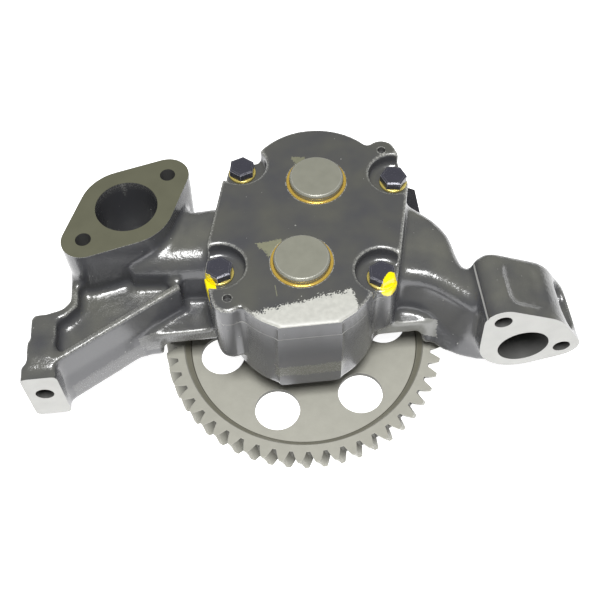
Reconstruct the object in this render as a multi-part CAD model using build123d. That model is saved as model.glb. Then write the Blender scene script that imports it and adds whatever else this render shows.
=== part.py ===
from build123d import *
from math import acos, asin, atan, atan2, cos, degrees, hypot, pi, radians, sin, sqrt, tan
import os

# Engine oil pump: a two-gear pump in a cast housing, driven by a large helical gear.
# Origin on the drive shaft's axis, in the plane of the drive gear's lower face.
# +Z runs along the shafts towards the cover, -Y is the side of the mounting face.

# Pump gears, which set the distance between the two shafts
pump_module = 5.0
pump_teeth = 12
pump_pressure_angle = 25.0
pump_face_width = 34.5
pump_backlash = 0.24
tip_clearance = 0.08
end_clearance = 0.05
centre_distance = pump_module * pump_teeth
pump_tip_r = pump_module * (pump_teeth + 2) / 2
pump_root_r = pump_module * (pump_teeth - 2.5) / 2
chamber_r = pump_tip_r + tip_clearance
shaft_line_tilt = 14.3

# Shafts, bushes and their running fits
shaft_r = 16.0
journal_clearance = 0.04
bush_wall = 2.0
bush_seat_gap = 0.01
slip_fit = 0.02
bush_proud = 0.8
shaft_proud = 4.5
shaft_chamfer = 1.0
bush_r = shaft_r + bush_wall

# Heights along the shafts, from the drive gear's lower face
housing_bottom = 22.5
plate_bottom = 24.5
plate_top = 35.5
chamber_floor = 39.5
cover_thickness = 14.0
driven_bore_floor = 27.0
shaft_end_gap = 0.5
joint_z = chamber_floor + pump_face_width + 2 * end_clearance
cover_top = joint_z + cover_thickness
shaft_top = cover_top + shaft_proud

# Drive gear
drive_teeth = 50
drive_module = 3.0
drive_helix = 27.0
drive_pressure_angle = 22.0
drive_width = 8.5
drive_tooth_angle = 6.1
drive_web = 3.0
drive_hub_r = 26.0
rim_slope_inner_r = 71.5
rim_slope_outer_r = 76.0
lightening_r = 13.8
lightening_circle_r = 52.2
lightening_count = 6
lightening_angle = 6.2
tooth_chamfer = 0.4
hub_gap = 0.3
drive_pitch_r = drive_module * drive_teeth / 2 / cos(radians(drive_helix))
drive_tip_r = drive_pitch_r + drive_module
drive_twist = degrees(drive_width * tan(radians(drive_helix)) / drive_pitch_r)
hub_top = housing_bottom - hub_gap

# Drive gear's seat, nut and tab washer
gear_seat_r = 13.0
thread_r = 10.0
nut_across_flats = 30.0
nut_height = 8.0
nut_bottom = 1.5
tab_washer_thickness = 1.5
tab_width = 9.0
tab_length = 5.0
recess_r = 21.0
recess_gap = 2.0
shaft_bottom = 1.0
nut_top = nut_bottom + nut_height
gear_seat_bottom = nut_top + tab_washer_thickness

# Keys
key_width = 6.0
key_height = 6.0
key_length = 28.0
drive_key_width = 5.0
drive_key_height = 5.0
drive_key_length = 9.0

# Cover outline, in the cover's own axes: u across the shaft line, v along it
wall_upper = 7.7
wall_lower = 9.7
bolt_points = ((-47.0, 67.5), (45.5, 72.5), (-46.2, -9.0), (45.4, 0.5))
boss_r = 9.4
pocket_r = 15.2
pocket_depth = 9.0
boss_foot_z = 36.0
boss_foot_bevel = 2.5
dowel_points = ((36.2, 90.0), (-37.0, -30.4))
dowel_ear_r = 8.8
dowel_r = 2.5
dowel_bite = 8.0
dowel_sunk = 3.5
cover_edge_round = 1.2

# Cover bolts and washers
bolt_r = 4.0
bolt_length = 25.0
bolt_head_flats = 14.0
bolt_head_height = 5.3
bolt_turns = (20.0, -9.0, 20.0, 25.0)
bolt_hole_r = 4.4
thread_gap = 0.02
washer_r = 8.3
washer_thickness = 1.8

# Mounting plane and the two ports that bolt to the engine
mount_y = -42.0
mount_trim = (400.0, 100.0, 200.0)
block_depth = 43.0
block_round = 6.0
press_bore_x = 125.5
press_bore_z = 41.3
press_bore_r = 15.0
press_bore_depth = 30.0
press_hole_r = 5.1
press_hole_depth = 22.0
press_holes = ((109.0, 70.1), (149.5, 36.8))
press_lobe_r = 10.8
press_face_r = 26.2
press_face_z = 45.5
side_slot = (18.5, 31.0, 8.0)
side_slot_y = -22.5
dish = (24.0, 28.0, 2.0)
dish_y = -21.5

suction_x = -99.0
suction_y = 53.0
suction_top = 86.5
suction_flange_thickness = 13.0
suction_draft = 1.5
suction_bore_r = 18.5
suction_bore_floor = 34.5
suction_hole_r = 4.6
suction_hole_depth = 20.0
suction_hole_spacing = 66.4
suction_hole_angle = 41.3
suction_lobe_r = 13.0
suction_face_r = 28.3
pipe_top = 72.5
pipe_front_round = 16.0
pipe_back_round = 10.0

# Galleries inside the casting
gallery_z = 52.5
press_bend_z = 49.0
press_port_z = 45.0
suction_gallery_r = 12.5
press_gallery_r = 9.5

# Pressure arm
arm_top = 70.5
arm_round = 9.0
band_low = 17.5

# Left bracket arm and its lug
lug_x = (-163.7, -143.0)
lug_depth = 10.5
lug_z = (16.0, 58.2)
lug_round = 2.5
lug_hole_r = 5.2
lug_hole_x = -153.4
lug_hole_z = 40.2
lug_boss_back = 1.0
rib_top = 59.5
arm_floor_z = 49.5
rib_thickness = 4.5
rib_round = 3.0
ledge_low = 30.5
ledge_high = 39.5
flange_low = 16.5

# Relief valve in the root of the pressure arm
relief_x = 72.0
relief_z = 41.0
relief_face_y = 58.0
relief_boss_r = 13.0
spot_face_r = 14.2
spot_face_reach = 40.0
relief_bore_r = 8.0
relief_seat_r = 6.0
relief_seat_y = 22.0
relief_spill_r = 3.5
relief_spill_y = 30.0
relief_feed_y = 12.0
piston_clearance = 0.04
piston_gap = 0.3
piston_length = 14.0
piston_wall = 2.0
plug_thread_r = 9.0
plug_thread_length = 9.0
plug_flats = 20.0
plug_head = 20.5
plug_turn = 0.0
plug_washer_r = 10.8
plug_washer_thickness = 1.5
spring_wire_r = 0.8
spring_turns = 7
spring_gap = 0.3
spring_side_gap = 0.6

tilt = radians(shaft_line_tilt)


def cover_point(u, v):
    # A point in plan from the cover's own axes
    return (u * cos(tilt) + v * sin(tilt), -u * sin(tilt) + v * cos(tilt))


driven_x, driven_y = cover_point(0, centre_distance)


def save(node, *solids):
    shape = solids[0] if len(solids) == 1 else Compound(children=list(solids))
    shape.label = node
    export_step(shape, f"parts/{node}.step")


def cylinder(x, y, radius, low, high):
    return Pos(x, y, low) * extrude(Circle(radius), amount=high - low)


def rod(start, end, radius):
    # A round bar between two points in space
    a = Vector(*start)
    b = Vector(*end)
    return extrude(Plane(origin=a, z_dir=b - a) * Circle(radius), amount=(b - a).length)


def hull_of(circles):
    # The outline that a belt round several circles would have
    rings = [Pos(x, y) * Circle(radius) for x, y, radius in circles]
    return make_hull(Sketch(children=rings).edges())


def hexagon(flats):
    return RegularPolygon(radius=flats / 2, side_count=6, major_radius=False)


def polygon(*points):
    return make_face(Polyline(*points, close=True))


def prism(outline, low, high):
    return Pos(0, 0, low) * extrude(outline, amount=high - low)


def edges_at(shape, height, tolerance=0.01):
    return [e for e in shape.edges()
            if abs(e.bounding_box().min.Z - height) < tolerance and abs(e.bounding_box().max.Z - height) < tolerance]


# Gear teeth

def involute(angle):
    return tan(angle) - angle


def tooth_outline(teeth, pitch_r, tip_r, root_r, pressure_angle, backlash, steps, turn):
    base_r = pitch_r * cos(pressure_angle)
    half_tooth = pi / (2 * teeth) - backlash / (2 * pitch_r) + involute(pressure_angle)
    start_r = max(root_r, base_r)
    radii = [start_r + (tip_r - start_r) * i / steps for i in range(steps + 1)]
    flank = [(r, half_tooth - involute(acos(base_r / r))) for r in radii]
    if root_r < base_r:
        flank.insert(0, (root_r, flank[0][1]))
    points = []
    for tooth in range(teeth):
        middle = turn + 2 * pi * tooth / teeth
        for r, a in flank:
            points.append((r * cos(middle - a), r * sin(middle - a)))
        for r, a in reversed(flank):
            points.append((r * cos(middle + a), r * sin(middle + a)))
    return points


def pump_gear(x, y, turn):
    pitch_r = centre_distance / 2
    outline = tooth_outline(pump_teeth, pitch_r, pump_tip_r, pump_root_r, radians(pump_pressure_angle),
                            pump_backlash, 4, turn)
    low = chamber_floor + end_clearance
    high = low + pump_face_width
    gear = prism(polygon(*outline), low, high)
    gear -= prism(Circle(shaft_r + slip_fit), low, high)
    slot_depth = key_height / 2 + slip_fit
    gear -= Pos(shaft_r, 0, low) * Box(2 * slot_depth, key_width + 2 * slip_fit, 3 * pump_face_width)
    return Pos(x, y, 0) * gear


def key_middle():
    return chamber_floor + end_clearance + pump_face_width / 2


def pump_key(x, y):
    key = Pos(shaft_r, 0, key_middle()) * Box(key_height, key_width, key_length)
    return Pos(x, y, 0) * fillet(key.edges().filter_by(Axis.X), key_width / 2 - 0.01)


def pump_keyway():
    width = key_width + 2 * slip_fit
    slot = Pos(shaft_r, 0, key_middle()) * Box(key_height + 2 * slip_fit, width, key_length + 2 * slip_fit)
    return fillet(slot.edges().filter_by(Axis.X), width / 2 - 0.01)


# Shafts

def drive_key_middle():
    return (gear_seat_bottom + hub_top) / 2


def drive_shaft():
    shaft = cylinder(0, 0, shaft_r, hub_top, shaft_top)
    shaft += cylinder(0, 0, gear_seat_r, gear_seat_bottom, hub_top)
    shaft += cylinder(0, 0, thread_r, shaft_bottom, gear_seat_bottom)
    shaft = chamfer(edges_at(shaft, shaft_top) + edges_at(shaft, shaft_bottom), shaft_chamfer)
    shaft -= pump_keyway()
    slot = Box(drive_key_height + 2 * slip_fit, drive_key_width + 2 * slip_fit, drive_key_length + 2 * slip_fit)
    return shaft - Pos(gear_seat_r, 0, drive_key_middle()) * slot


def drive_gear_key():
    return Pos(gear_seat_r, 0, drive_key_middle()) * Box(drive_key_height, drive_key_width, drive_key_length)


def driven_shaft():
    bottom = driven_bore_floor + shaft_end_gap
    shaft = cylinder(0, 0, shaft_r, bottom, shaft_top)
    shaft = chamfer(edges_at(shaft, shaft_top) + edges_at(shaft, bottom), shaft_chamfer)
    return Pos(driven_x, driven_y, 0) * (shaft - pump_keyway())


def bush(x, y, low, high):
    ring = cylinder(0, 0, bush_r - bush_seat_gap, low, high)
    return Pos(x, y, 0) * (ring - cylinder(0, 0, shaft_r + journal_clearance, low, high))


# Drive gear, its nut and tab washer

def drive_gear():
    helix = radians(drive_helix)
    flank_angle = atan(tan(radians(drive_pressure_angle)) / cos(helix))
    root_r = drive_pitch_r - 1.25 * drive_module
    outline = tooth_outline(drive_teeth, drive_pitch_r, drive_tip_r, root_r, flank_angle, 0, 3,
                            radians(drive_tooth_angle))
    lower = polygon(*outline)
    upper = Pos(0, 0, drive_width) * (Rot(0, 0, -drive_twist) * lower)
    toothed = loft([lower, upper], ruled=True)
    c = tooth_chamfer
    section = polygon(
        (0, 0), (drive_tip_r - c, 0), (drive_tip_r, c), (drive_tip_r, drive_width - c),
        (drive_tip_r - c, drive_width), (rim_slope_outer_r, drive_width), (rim_slope_inner_r, drive_web),
        (drive_hub_r, drive_web), (drive_hub_r, hub_top), (0, hub_top))
    blank = revolve(Plane.XZ * section, axis=Axis.Z)
    tall = cylinder(0, 0, rim_slope_inner_r, 0, hub_top)
    gear = (toothed + tall) & blank
    for i in range(lightening_count):
        angle = radians(lightening_angle + 360 * i / lightening_count)
        gear -= cylinder(lightening_circle_r * cos(angle), lightening_circle_r * sin(angle), lightening_r,
                         -1, drive_width)
    gear -= cylinder(0, 0, recess_r, -1, gear_seat_bottom)
    gear -= cylinder(0, 0, gear_seat_r + slip_fit, 0, hub_top + 1)
    slot_depth = drive_key_height / 2 + slip_fit
    return gear - Pos(gear_seat_r, 0, hub_top) * Box(2 * slot_depth, drive_key_width + 2 * slip_fit,
                                                     2 * hub_top)


def drive_nut():
    nut = prism(hexagon(nut_across_flats), nut_bottom, nut_top)
    return nut - cylinder(0, 0, thread_r + thread_gap, nut_bottom, nut_top)


def tab_washer():
    washer = cylinder(0, 0, recess_r - recess_gap, nut_top, gear_seat_bottom)
    washer -= cylinder(0, 0, thread_r + thread_gap, nut_top, gear_seat_bottom)
    tab_y = -(nut_across_flats + tab_washer_thickness) / 2 - thread_gap
    return washer + Pos(0, tab_y, nut_top - tab_length / 2 + 0.5) * Box(tab_width, tab_washer_thickness,
                                                                       tab_length + 1)


# Cover and the outline that it shares with the housing

def chamber_wall():
    return Pos(0, centre_distance) * Circle(chamber_r + wall_upper) + Circle(chamber_r + wall_lower)


def joint_outline():
    bolts = hull_of([(u, v, boss_r) for u, v in bolt_points])
    ear_high = hull_of([(*dowel_points[0], dowel_ear_r), (*bolt_points[1], boss_r)])
    ear_low = hull_of([(*dowel_points[1], dowel_ear_r), (*bolt_points[2], boss_r)])
    web_high = hull_of([(*dowel_points[0], dowel_ear_r / 2), (14, centre_distance + 25, dowel_ear_r)])
    web_low = hull_of([(*dowel_points[1], dowel_ear_r / 2), (-14, -20, dowel_ear_r)])
    outline = bolts + chamber_wall() + ear_high + ear_low + web_high + web_low
    return Rot(0, 0, -shaft_line_tilt) * outline


def mount_side():
    # Everything in front of the mounting plane, cut off the castings
    width, depth, height = mount_trim
    return Pos(0, mount_y - depth / 2, shaft_top / 2) * Box(width, depth, height)


def cover_plate():
    plate = prism(joint_outline(), joint_z, cover_top)
    plate -= mount_side()
    for u, v in bolt_points:
        x, y = cover_point(u, v)
        plate -= cylinder(x, y, pocket_r, cover_top - pocket_depth, cover_top + 1)
    plate = fillet(edges_at(plate, cover_top), cover_edge_round)
    for u, v in bolt_points:
        x, y = cover_point(u, v)
        plate -= cylinder(x, y, bolt_hole_r, joint_z - 1, cover_top)
    for x, y in ((0, 0), (driven_x, driven_y)):
        plate -= cylinder(x, y, bush_r, joint_z - 1, cover_top + 1)
    for u, v in dowel_points:
        x, y = cover_point(u, v)
        plate -= cylinder(x, y, dowel_r + bush_seat_gap, joint_z - 1, cover_top + 1)
    return plate


def bolt_seat():
    return cover_top - pocket_depth + washer_thickness


def cover_bolt(u, v, turn):
    x, y = cover_point(u, v)
    seat = bolt_seat()
    head = prism(Rot(0, 0, turn) * hexagon(bolt_head_flats), seat, seat + bolt_head_height)
    blank = extrude(Circle(bolt_head_flats / sqrt(3) + 0.2), amount=bolt_head_height)
    blank = chamfer(blank.edges().sort_by(Axis.Z)[-1], 0.8, 1.4)
    head &= Pos(0, 0, seat) * blank
    shank = cylinder(0, 0, bolt_r, seat - bolt_length, seat)
    shank = chamfer(edges_at(shank, seat - bolt_length), 0.8)
    return Pos(x, y, 0) * (head + shank)


def cover_washer(u, v):
    x, y = cover_point(u, v)
    low = cover_top - pocket_depth
    ring = cylinder(x, y, washer_r, low, low + washer_thickness)
    return ring - cylinder(x, y, bolt_hole_r, low - 1, low + washer_thickness + 1)


def cover_dowel(u, v):
    x, y = cover_point(u, v)
    return cylinder(x, y, dowel_r, joint_z - dowel_bite, cover_top - dowel_sunk)


# Housing: the casting's pieces, each rounded before they are joined

def rear_plate():
    outline = polygon(
        (-102, -7), (-40, -7), (40, -15.5), (79, -15.5), (85, -18.5), (92, -25.5), (99, -31.5), (110, -38),
        (110, -4), (96, -1.5), (92, 12), (84, 36), (71, 50), (40, 66), (-50, 60), (-112, 62), (-128, 46),
        (-136, 30), (-136, 6), (-144, -2), (-146, -30))
    return prism(outline, plate_bottom, plate_top)


def flange_band():
    # The web below the plate that carries it round to the pressure flange
    back = [(112, -15), (90, -8), (72, -4)]
    low = [(72, -19.6), (78, -20.5), (83, -26), (93, -32), (101, -35), (112, -37)]
    high = [(72, -15.4), (79, -15.4), (85, -18.4), (92, -25.4), (99, -31.4), (112, -39)]
    lower = Pos(0, 0, band_low) * polygon(*low, *back)
    upper = Pos(0, 0, plate_top) * polygon(*high, *back)
    return loft([lower, upper], ruled=True)


def pressure_arm():
    front = Spline((50, -5), (62, -5.5), (71, -8.5), (77, -12.5), (83, -18), (91, -25.5), (99, -32), (110, -39))
    back = Spline((110, -8), (102, -5), (96.5, 1), (94, 9), (93, 17), (91.9, 24), (88.5, 32), (83.5, 39.4),
                  (78, 45), (72, 51), (58, 58))
    outline = make_face([front, Line(front @ 1, back @ 0), back, Line(back @ 1, front @ 0)])
    arm = prism(outline, band_low + 10, arm_top)
    shoulder = [e for e in edges_at(arm, arm_top) if e.geom_type == GeomType.BSPLINE]
    return fillet(shoulder, arm_round)


def tangent_face(first, second):
    # Where a belt over two circles leaves the first and meets the second, and its slope
    (x1, z1, r1), (x2, z2, r2) = first, second
    slope = atan2(z2 - z1, x2 - x1) + asin((r2 - r1) / hypot(x2 - x1, z2 - z1))
    start = (x1 - r1 * sin(slope), z1 + r1 * cos(slope))
    end = (x2 - r2 * sin(slope), z2 + r2 * cos(slope))
    return start, end, slope


def sunk_pocket(face, y, size, corner):
    # A rounded pocket sunk into the middle of a belt face
    (x1, z1), (x2, z2), slope = face
    width, length, depth = size
    tool = Box(width, length, 2 * depth)
    tool = fillet(tool.edges().filter_by(Axis.Z), corner)
    return Pos((x1 + x2) / 2, y, (z1 + z2) / 2) * Rot(0, -degrees(slope), 0) * tool


def pressure_block():
    upper_lobe = (*press_holes[0], press_lobe_r)
    middle = (press_bore_x, press_face_z, press_face_r)
    lower_lobe = (*press_holes[1], press_lobe_r)
    face = Plane.XZ.offset(-mount_y) * hull_of([upper_lobe, middle, lower_lobe])
    block = extrude(face, amount=-block_depth)
    far = block.edges().filter_by(lambda e: e.bounding_box().min.Y > mount_y + block_depth - 0.01)
    block = fillet(far, block_round)
    block -= sunk_pocket(tangent_face(upper_lobe, middle), dish_y, dish, 6.0)
    block -= sunk_pocket(tangent_face(middle, lower_lobe), side_slot_y, side_slot, side_slot[0] / 2 - 0.1)
    return block


def suction_holes():
    angle = radians(suction_hole_angle)
    half = suction_hole_spacing / 2
    return [(suction_x + s * half * cos(angle), suction_y + s * half * sin(angle)) for s in (-1, 1)]


def suction_neck():
    lobes = [(x, y, suction_lobe_r) for x, y in suction_holes()]
    outline = hull_of(lobes + [(suction_x, suction_y, suction_face_r)])
    flange_bottom = suction_top - suction_flange_thickness
    neck = prism(outline, flange_bottom, suction_top)
    return neck + Pos(0, 0, flange_bottom) * extrude(outline, amount=plate_bottom - flange_bottom,
                                                     taper=suction_draft)


def suction_pipe():
    pipe = prism(polygon((-100, 19), (-44, 15), (-44, 62), (-100, 58)), plate_bottom, pipe_top)
    top = [e for e in edges_at(pipe, pipe_top) if abs(e.tangent_at(0.5).X) > 0.9]
    front, back = sorted(top, key=lambda e: e.center().Y)
    pipe = fillet(front, pipe_front_round)
    back = max(edges_at(pipe, pipe_top), key=lambda e: e.center().Y)
    return fillet(back, pipe_back_round)


def left_arm():
    low, high = Vector(-146.2, -34.6), Vector(-71.3, 10.2)
    run = (high - low).normalized()
    side = Vector(-run.Y, run.X) * rib_thickness
    wall = polygon((low.X, low.Y), (high.X, high.Y), (high.X + side.X, high.Y + side.Y),
                   (low.X + side.X, low.Y + side.Y))
    arm = prism(wall, flange_low, rib_top)
    floor = polygon((-136, 34), (-136, 5), (-146, -2), (-147, -32), (-91, 3), (-80, 10), (-80, 34))
    arm += prism(floor, flange_low + 8, arm_floor_z)
    rib = polygon((-136.6, 36), (-136.6, 7.5), (-141, 3.2), (-150, 1), (-150, -5), (-139.5, -3), (-132, 4.5),
                  (-132, 36))
    rib = fillet(rib.vertices().sort_by(Axis.Y)[2:-2], rib_round)
    arm += prism(rib, flange_low + 8, rib_top)
    ledge_back = [(-87, 2), (-104, 2), (-146, -26)]
    ledge_edge = [(-147, -38), (-127, -26), (-115, -18.8), (-102.5, -10.9), (-95, -9.4), (-87, -9.4)]
    wall_foot = [(-147, -35.2), (-127, -23.2), (-115, -16), (-103, -8.8), (-95, -4), (-87, 0.8)]
    ledge = polygon(*ledge_edge, *ledge_back)
    arm += prism(ledge, flange_low, ledge_low)
    return arm + loft([Pos(0, 0, ledge_low) * ledge,
                       Pos(0, 0, ledge_high) * polygon(*wall_foot, *ledge_back)], ruled=True)


def lug():
    width = lug_x[1] - lug_x[0]
    height = lug_z[1] - lug_z[0]
    pad = Pos(lug_x[0] + width / 2, mount_y + lug_depth / 2, lug_z[0] + height / 2) * Box(width, lug_depth, height)
    pad = fillet(pad.edges().filter_by(Axis.Y), lug_round)
    boss = polygon((-159, lug_boss_back), (-144, lug_boss_back), (-144, -34), (-159, -34))
    boss = fillet(boss.vertices().sort_by(Axis.Y)[-2:], 4.0)
    raised = Pos(-152.7, -23.2, (flange_low + rib_top + 1) / 2) * Box(15, 12.5, rib_top + 1 - flange_low)
    raised = fillet(raised.edges().filter_by(Axis.Z), 2.0)
    return pad + prism(boss, flange_low, rib_top) + raised


def relief_boss():
    return rod((relief_x, relief_face_y, relief_z), (relief_x, relief_face_y - 35, relief_z), relief_boss_r)


def housing_body():
    bosses = prism(joint_outline(), boss_foot_z, joint_z)
    body = chamfer(edges_at(bosses, boss_foot_z), boss_foot_bevel)
    body += prism(Rot(0, 0, -shaft_line_tilt) * chamber_wall(), housing_bottom, joint_z)
    body += rear_plate() + flange_band()
    body += pressure_arm() + pressure_block() + relief_boss()
    body += suction_neck() + suction_pipe()
    body += left_arm() + lug()
    return body - mount_side()


def gallery_cuts():
    waist_x, waist_y = cover_point(0, centre_distance / 2)
    waist = (waist_x, waist_y, gallery_z)
    bend_one = (70.0, 11.0, press_bend_z)
    bend_two = (98.0, -14.0, press_port_z)
    port = (press_bore_x, mount_y + press_bore_depth - 8, press_bore_z)
    return [
        rod((suction_x, suction_y - 6, gallery_z), waist, suction_gallery_r),
        rod(waist, bend_one, press_gallery_r), Pos(*bend_one) * Sphere(press_gallery_r),
        rod(bend_one, bend_two, press_gallery_r), Pos(*bend_two) * Sphere(press_gallery_r),
        rod(bend_two, port, press_gallery_r)]


def relief_cuts():
    def along(near, far, radius):
        return rod((relief_x, near, relief_z), (relief_x, far, relief_z), radius)

    spill = cylinder(relief_x, relief_spill_y, relief_spill_r, 0, relief_z)
    return [
        along(relief_face_y + 1, relief_seat_y, relief_bore_r),
        along(relief_face_y + 1, relief_face_y - plug_thread_length, plug_thread_r + thread_gap),
        along(relief_face_y, relief_face_y + spot_face_reach, spot_face_r),
        along(relief_seat_y + 1, relief_feed_y, relief_seat_r), spill]


def pump_housing():
    housing = housing_body()
    for x, y in ((0, 0), (driven_x, driven_y)):
        housing -= cylinder(x, y, chamber_r, chamber_floor, joint_z + 1)
    housing -= cylinder(0, 0, bush_r, housing_bottom - 1, chamber_floor + 1)
    housing -= cylinder(driven_x, driven_y, bush_r, driven_bore_floor, chamber_floor + 1)
    housing -= cylinder(suction_x, suction_y, suction_bore_r, suction_bore_floor, suction_top + 1)
    housing -= rod((press_bore_x, mount_y - 1, press_bore_z),
                   (press_bore_x, mount_y + press_bore_depth, press_bore_z), press_bore_r)
    for cut in gallery_cuts() + relief_cuts():
        housing -= cut
    for u, v in bolt_points:
        x, y = cover_point(u, v)
        housing -= cylinder(x, y, bolt_r + thread_gap, bolt_seat() - bolt_length - 2, joint_z + 1)
    for u, v in dowel_points:
        x, y = cover_point(u, v)
        housing -= cylinder(x, y, dowel_r + bush_seat_gap, joint_z - dowel_bite, joint_z + 1)
    for x, z in press_holes:
        housing -= rod((x, mount_y - 1, z), (x, mount_y + press_hole_depth, z), press_hole_r)
    for x, y in suction_holes():
        housing -= cylinder(x, y, suction_hole_r, suction_top - suction_hole_depth, suction_top + 1)
    return housing - rod((lug_hole_x, mount_y - 1, lug_hole_z), (lug_hole_x, lug_boss_back + 1, lug_hole_z),
                         lug_hole_r)


# Relief valve pieces

def relief_plug():
    head_y = relief_face_y + plug_washer_thickness
    plane = Plane(origin=(relief_x, head_y, relief_z), x_dir=(1, 0, 0), z_dir=(0, 1, 0))
    head = extrude(plane * (Rot(0, 0, 30 + plug_turn) * hexagon(plug_flats)), amount=plug_head)
    far_edges = head.edges().filter_by(lambda e: e.bounding_box().min.Y > head_y + plug_head - 0.01)
    head = chamfer(far_edges, 1.0)
    return head + rod((relief_x, head_y, relief_z), (relief_x, relief_face_y - plug_thread_length, relief_z),
                      plug_thread_r)


def relief_plug_seal():
    near = (relief_x, relief_face_y, relief_z)
    far = (relief_x, relief_face_y + plug_washer_thickness, relief_z)
    return rod(near, far, plug_washer_r) - rod(near, far, plug_thread_r + thread_gap)


def relief_piston():
    radius = relief_bore_r - piston_clearance
    front = relief_seat_y + piston_gap
    piston = rod((relief_x, front, relief_z), (relief_x, front + piston_length, relief_z), radius)
    return piston - rod((relief_x, front + piston_wall, relief_z), (relief_x, front + piston_length + 1, relief_z),
                        radius - piston_wall)


def relief_spring():
    low = relief_seat_y + piston_gap + piston_wall + spring_gap
    high = relief_face_y - plug_thread_length - spring_gap
    coil_r = relief_bore_r - piston_clearance - piston_wall - spring_side_gap - spring_wire_r
    length = high - low - 2 * spring_wire_r
    path = Helix(pitch=length / spring_turns, height=length, radius=coil_r)
    wire = sweep(Plane(origin=path @ 0, z_dir=path % 0) * Circle(spring_wire_r), path=path)
    plane = Plane(origin=(relief_x, low + spring_wire_r, relief_z), x_dir=(1, 0, 0), z_dir=(0, 1, 0))
    return plane.location * wire


os.makedirs("parts", exist_ok=True)
line_angle = pi / 2 - tilt

save("pump_housing", pump_housing())
save("cover_plate", cover_plate())
save("cover_bolts", *[cover_bolt(u, v, turn) for (u, v), turn in zip(bolt_points, bolt_turns)])
save("cover_washers", *[cover_washer(u, v) for u, v in bolt_points])
save("cover_dowels", *[cover_dowel(u, v) for u, v in dowel_points])
save("drive_bush_cover", bush(0, 0, joint_z, cover_top + bush_proud))
save("driven_bush_cover", bush(driven_x, driven_y, joint_z, cover_top + bush_proud))
save("drive_bush_housing", bush(0, 0, housing_bottom, chamber_floor))
save("driven_bush_housing", bush(driven_x, driven_y, driven_bore_floor, chamber_floor))
save("drive_shaft", drive_shaft())
save("driven_shaft", driven_shaft())
save("drive_pump_gear", pump_gear(0, 0, line_angle))
save("driven_pump_gear", pump_gear(driven_x, driven_y, line_angle + pi / pump_teeth))
save("drive_pump_key", pump_key(0, 0))
save("driven_pump_key", pump_key(driven_x, driven_y))
save("drive_gear", drive_gear())
save("drive_gear_key", drive_gear_key())
save("drive_gear_nut", drive_nut())
save("drive_tab_washer", tab_washer())
save("relief_plug", relief_plug())
save("relief_plug_seal", relief_plug_seal())
save("relief_piston", relief_piston())
save("relief_spring", relief_spring())
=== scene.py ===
import bmesh
import bpy
import math
from mathutils import Matrix, Vector


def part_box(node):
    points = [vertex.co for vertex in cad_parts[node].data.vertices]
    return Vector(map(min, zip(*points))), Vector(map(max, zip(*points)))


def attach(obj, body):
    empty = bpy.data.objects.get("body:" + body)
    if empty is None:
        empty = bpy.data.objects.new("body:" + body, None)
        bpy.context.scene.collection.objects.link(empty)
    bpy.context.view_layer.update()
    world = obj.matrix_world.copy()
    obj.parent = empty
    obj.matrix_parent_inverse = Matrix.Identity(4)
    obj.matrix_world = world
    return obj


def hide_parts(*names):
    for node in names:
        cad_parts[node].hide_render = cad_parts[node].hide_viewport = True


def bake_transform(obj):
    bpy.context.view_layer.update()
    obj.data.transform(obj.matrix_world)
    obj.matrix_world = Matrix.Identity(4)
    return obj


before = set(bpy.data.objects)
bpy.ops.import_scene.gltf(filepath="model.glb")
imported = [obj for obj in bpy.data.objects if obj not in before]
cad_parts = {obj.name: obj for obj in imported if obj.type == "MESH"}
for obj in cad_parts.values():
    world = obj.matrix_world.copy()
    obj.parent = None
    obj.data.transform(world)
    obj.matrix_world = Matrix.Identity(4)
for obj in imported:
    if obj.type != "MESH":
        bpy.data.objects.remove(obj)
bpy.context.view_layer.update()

# Pump housing
# One grey iron casting with the bracket arm, the suction flange and the pressure flange. It is poured with
# soft corners, painted dark grey all over, and its faces and bores are then machined bare.

mm = 0.001
joint_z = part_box("cover_plate")[0].z
suction_z = 86.5 * mm
mount_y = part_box("pump_housing")[0].y
stock = 4 * mm
touching = 0.02 * mm
seam_left, seam_right = -59 * mm, 72 * mm
# The paint's grey is slightly blue, and on the walls that blue is a painted cold reflection
paint_grey = (0.055, 0.056, 0.063, 1)
# Light grey of worn paint, also laid on as painted highlights on corners and painted reflections on lower
# strips
worn_and_highlight_grey = (0.40, 0.40, 0.37, 1)
# Up-facing faces of the housing: an oil film, and painted light that makes the tops lighter
housing_top_film_and_light = (0.118, 0.118, 0.100, 1)
housing_seam = (0.05, 0.05, 0.05, 1)
# Tan of oil films, also used for the painted reflection of the gear on the housing's front wall
oil_and_reflection_tan = (0.215, 0.215, 0.135, 1)
bare_iron = (0.38, 0.38, 0.365, 1)
port_iron = (0.160, 0.160, 0.108, 1)
bore_iron = (0.16, 0.16, 0.155, 1)
witness_yellow = (0.90, 0.72, 0.0, 1)


def place(tree, kind, inputs={}, **settings):
    # Adds a node: an input that is given an output is joined to it, and any other is set
    node = tree.nodes.new(kind)
    for name, value in settings.items():
        setattr(node, name, value)
    for name, value in inputs.items():
        if isinstance(value, bpy.types.NodeSocket):
            tree.links.new(value, node.inputs[name])
        else:
            node.inputs[name].default_value = value
    return node


def maths(tree, operation, first, second=0.0):
    return place(tree, "ShaderNodeMath", {0: first, 1: second}, operation=operation).outputs[0]


def vector_maths(tree, operation, first, second=(0, 0, 0)):
    node = place(tree, "ShaderNodeVectorMath", {0: first, 1: second}, operation=operation)
    return node.outputs["Value" if operation in ("LENGTH", "DOT_PRODUCT") else "Vector"]


def axis_of(tree, vector, axis):
    return place(tree, "ShaderNodeSeparateXYZ", {"Vector": vector}).outputs[axis]


def own_place(tree):
    return place(tree, "ShaderNodeTexCoord").outputs["Object"]


def looking_up(tree):
    # 1 on a level face, 0 on a wall and -1 on a face that looks down
    return axis_of(tree, place(tree, "ShaderNodeNewGeometry").outputs["Normal"], "Z")


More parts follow.
